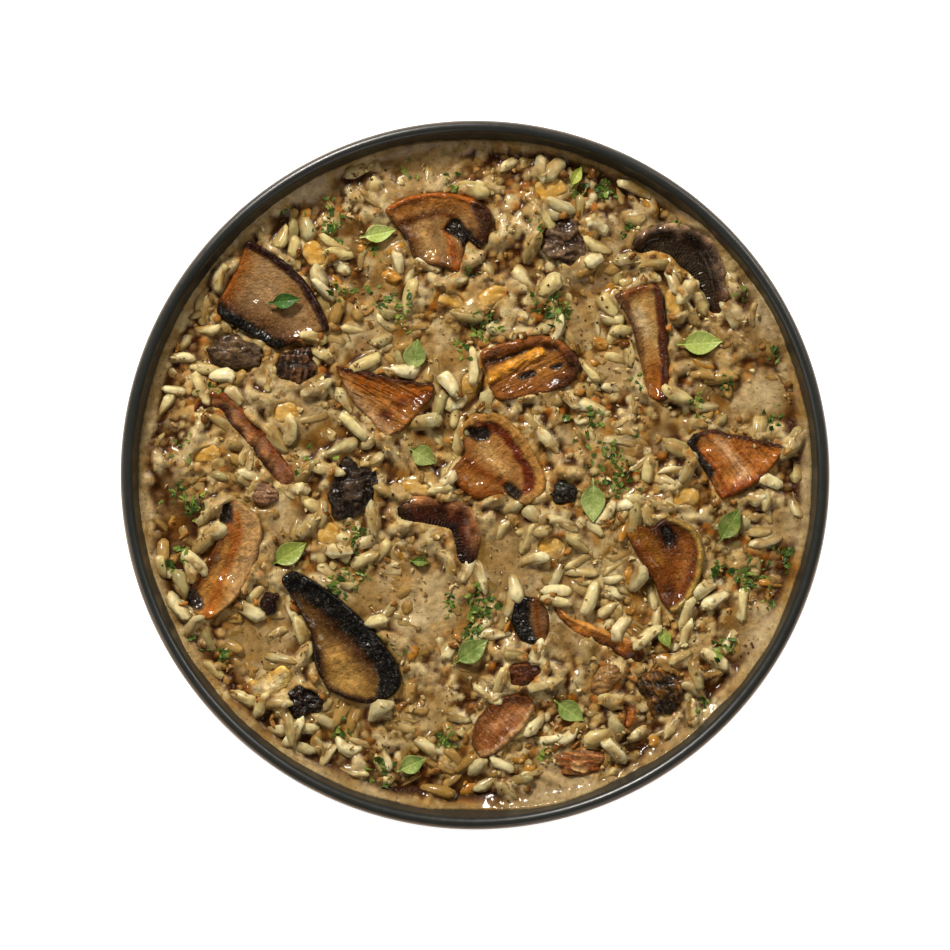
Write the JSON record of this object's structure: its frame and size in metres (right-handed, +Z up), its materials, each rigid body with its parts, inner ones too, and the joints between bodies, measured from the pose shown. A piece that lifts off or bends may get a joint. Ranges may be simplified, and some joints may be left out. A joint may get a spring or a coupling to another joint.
{
  "type": "mushroom risotto in a bowl",
  "caption": "Mushroom risotto in a low round stoneware bowl: creamy rice, browned mushroom slices, strips and crisp bits, soft onion and herb leaves.",
  "frame": {"origin": "middle of the bowl's foot, on the surface that the bowl stands on", "axes": "+Z up, out of the bowl's mouth; +Y to the far side of the bowl for the eater; +X to the eater's right"},
  "size_m": [0.2, 0.2, 0.039],
  "materials": {
    "bowl": "satin",
    "risotto": "gloss",
    "mushroom_slice": "satin",
    "mushroom_strip": "satin",
    "mushroom_chunk": "matte",
    "onion": "gloss",
    "leaf": "satin"
  },
  "bodies": {
    "root": {"bowl": "bowl", "risotto": "risotto", "mushroom_slice_1": "mushroom_slice", "mushroom_slice_2": "mushroom_slice", "mushroom_slice_3": "mushroom_slice", "mushroom_slice_4": "mushroom_slice", "mushroom_slice_5": "mushroom_slice", "mushroom_slice_6": "mushroom_slice", "mushroom_slice_7": "mushroom_slice", "mushroom_slice_8": "mushroom_slice", "mushroom_slice_9": "mushroom_slice", "mushroom_slice_10": "mushroom_slice", "mushroom_slice_11": "mushroom_slice", "mushroom_slice_12": "mushroom_slice", "mushroom_strip_1": "mushroom_strip", "mushroom_strip_2": "mushroom_strip", "mushroom_strip_3": "mushroom_strip", "mushroom_strip_4": "mushroom_strip", "mushroom_strip_5": "mushroom_strip", "mushroom_strip_6": "mushroom_strip", "mushroom_chunk_1": "mushroom_chunk", "mushroom_chunk_2": "mushroom_chunk", "mushroom_chunk_3": "mushroom_chunk", "mushroom_chunk_4": "mushroom_chunk", "mushroom_chunk_5": "mushroom_chunk", "mushroom_chunk_6": "mushroom_chunk", "mushroom_chunk_7": "mushroom_chunk", "mushroom_chunk_8": "mushroom_chunk", "mushroom_chunk_9": "mushroom_chunk", "mushroom_chunk_10": "mushroom_chunk", "mushroom_chunk_11": "mushroom_chunk", "mushroom_chunk_12": "mushroom_chunk", "onion_1": "onion", "onion_2": "onion", "onion_3": "onion", "onion_4": "onion", "onion_5": "onion", "onion_6": "onion", "onion_7": "onion", "onion_8": "onion", "onion_9": "onion", "onion_10": "onion", "onion_11": "onion", "onion_12": "onion", "leaf_1": "leaf", "leaf_2": "leaf", "leaf_3": "leaf", "leaf_4": "leaf", "leaf_5": "leaf", "leaf_6": "leaf", "leaf_7": "leaf", "leaf_8": "leaf", "leaf_9": "leaf", "leaf_10": "leaf", "leaf_11": "leaf", "leaf_12": "leaf", "leaf_13": "leaf", "leaf_14": "leaf"}
  },
  "joints": []
}
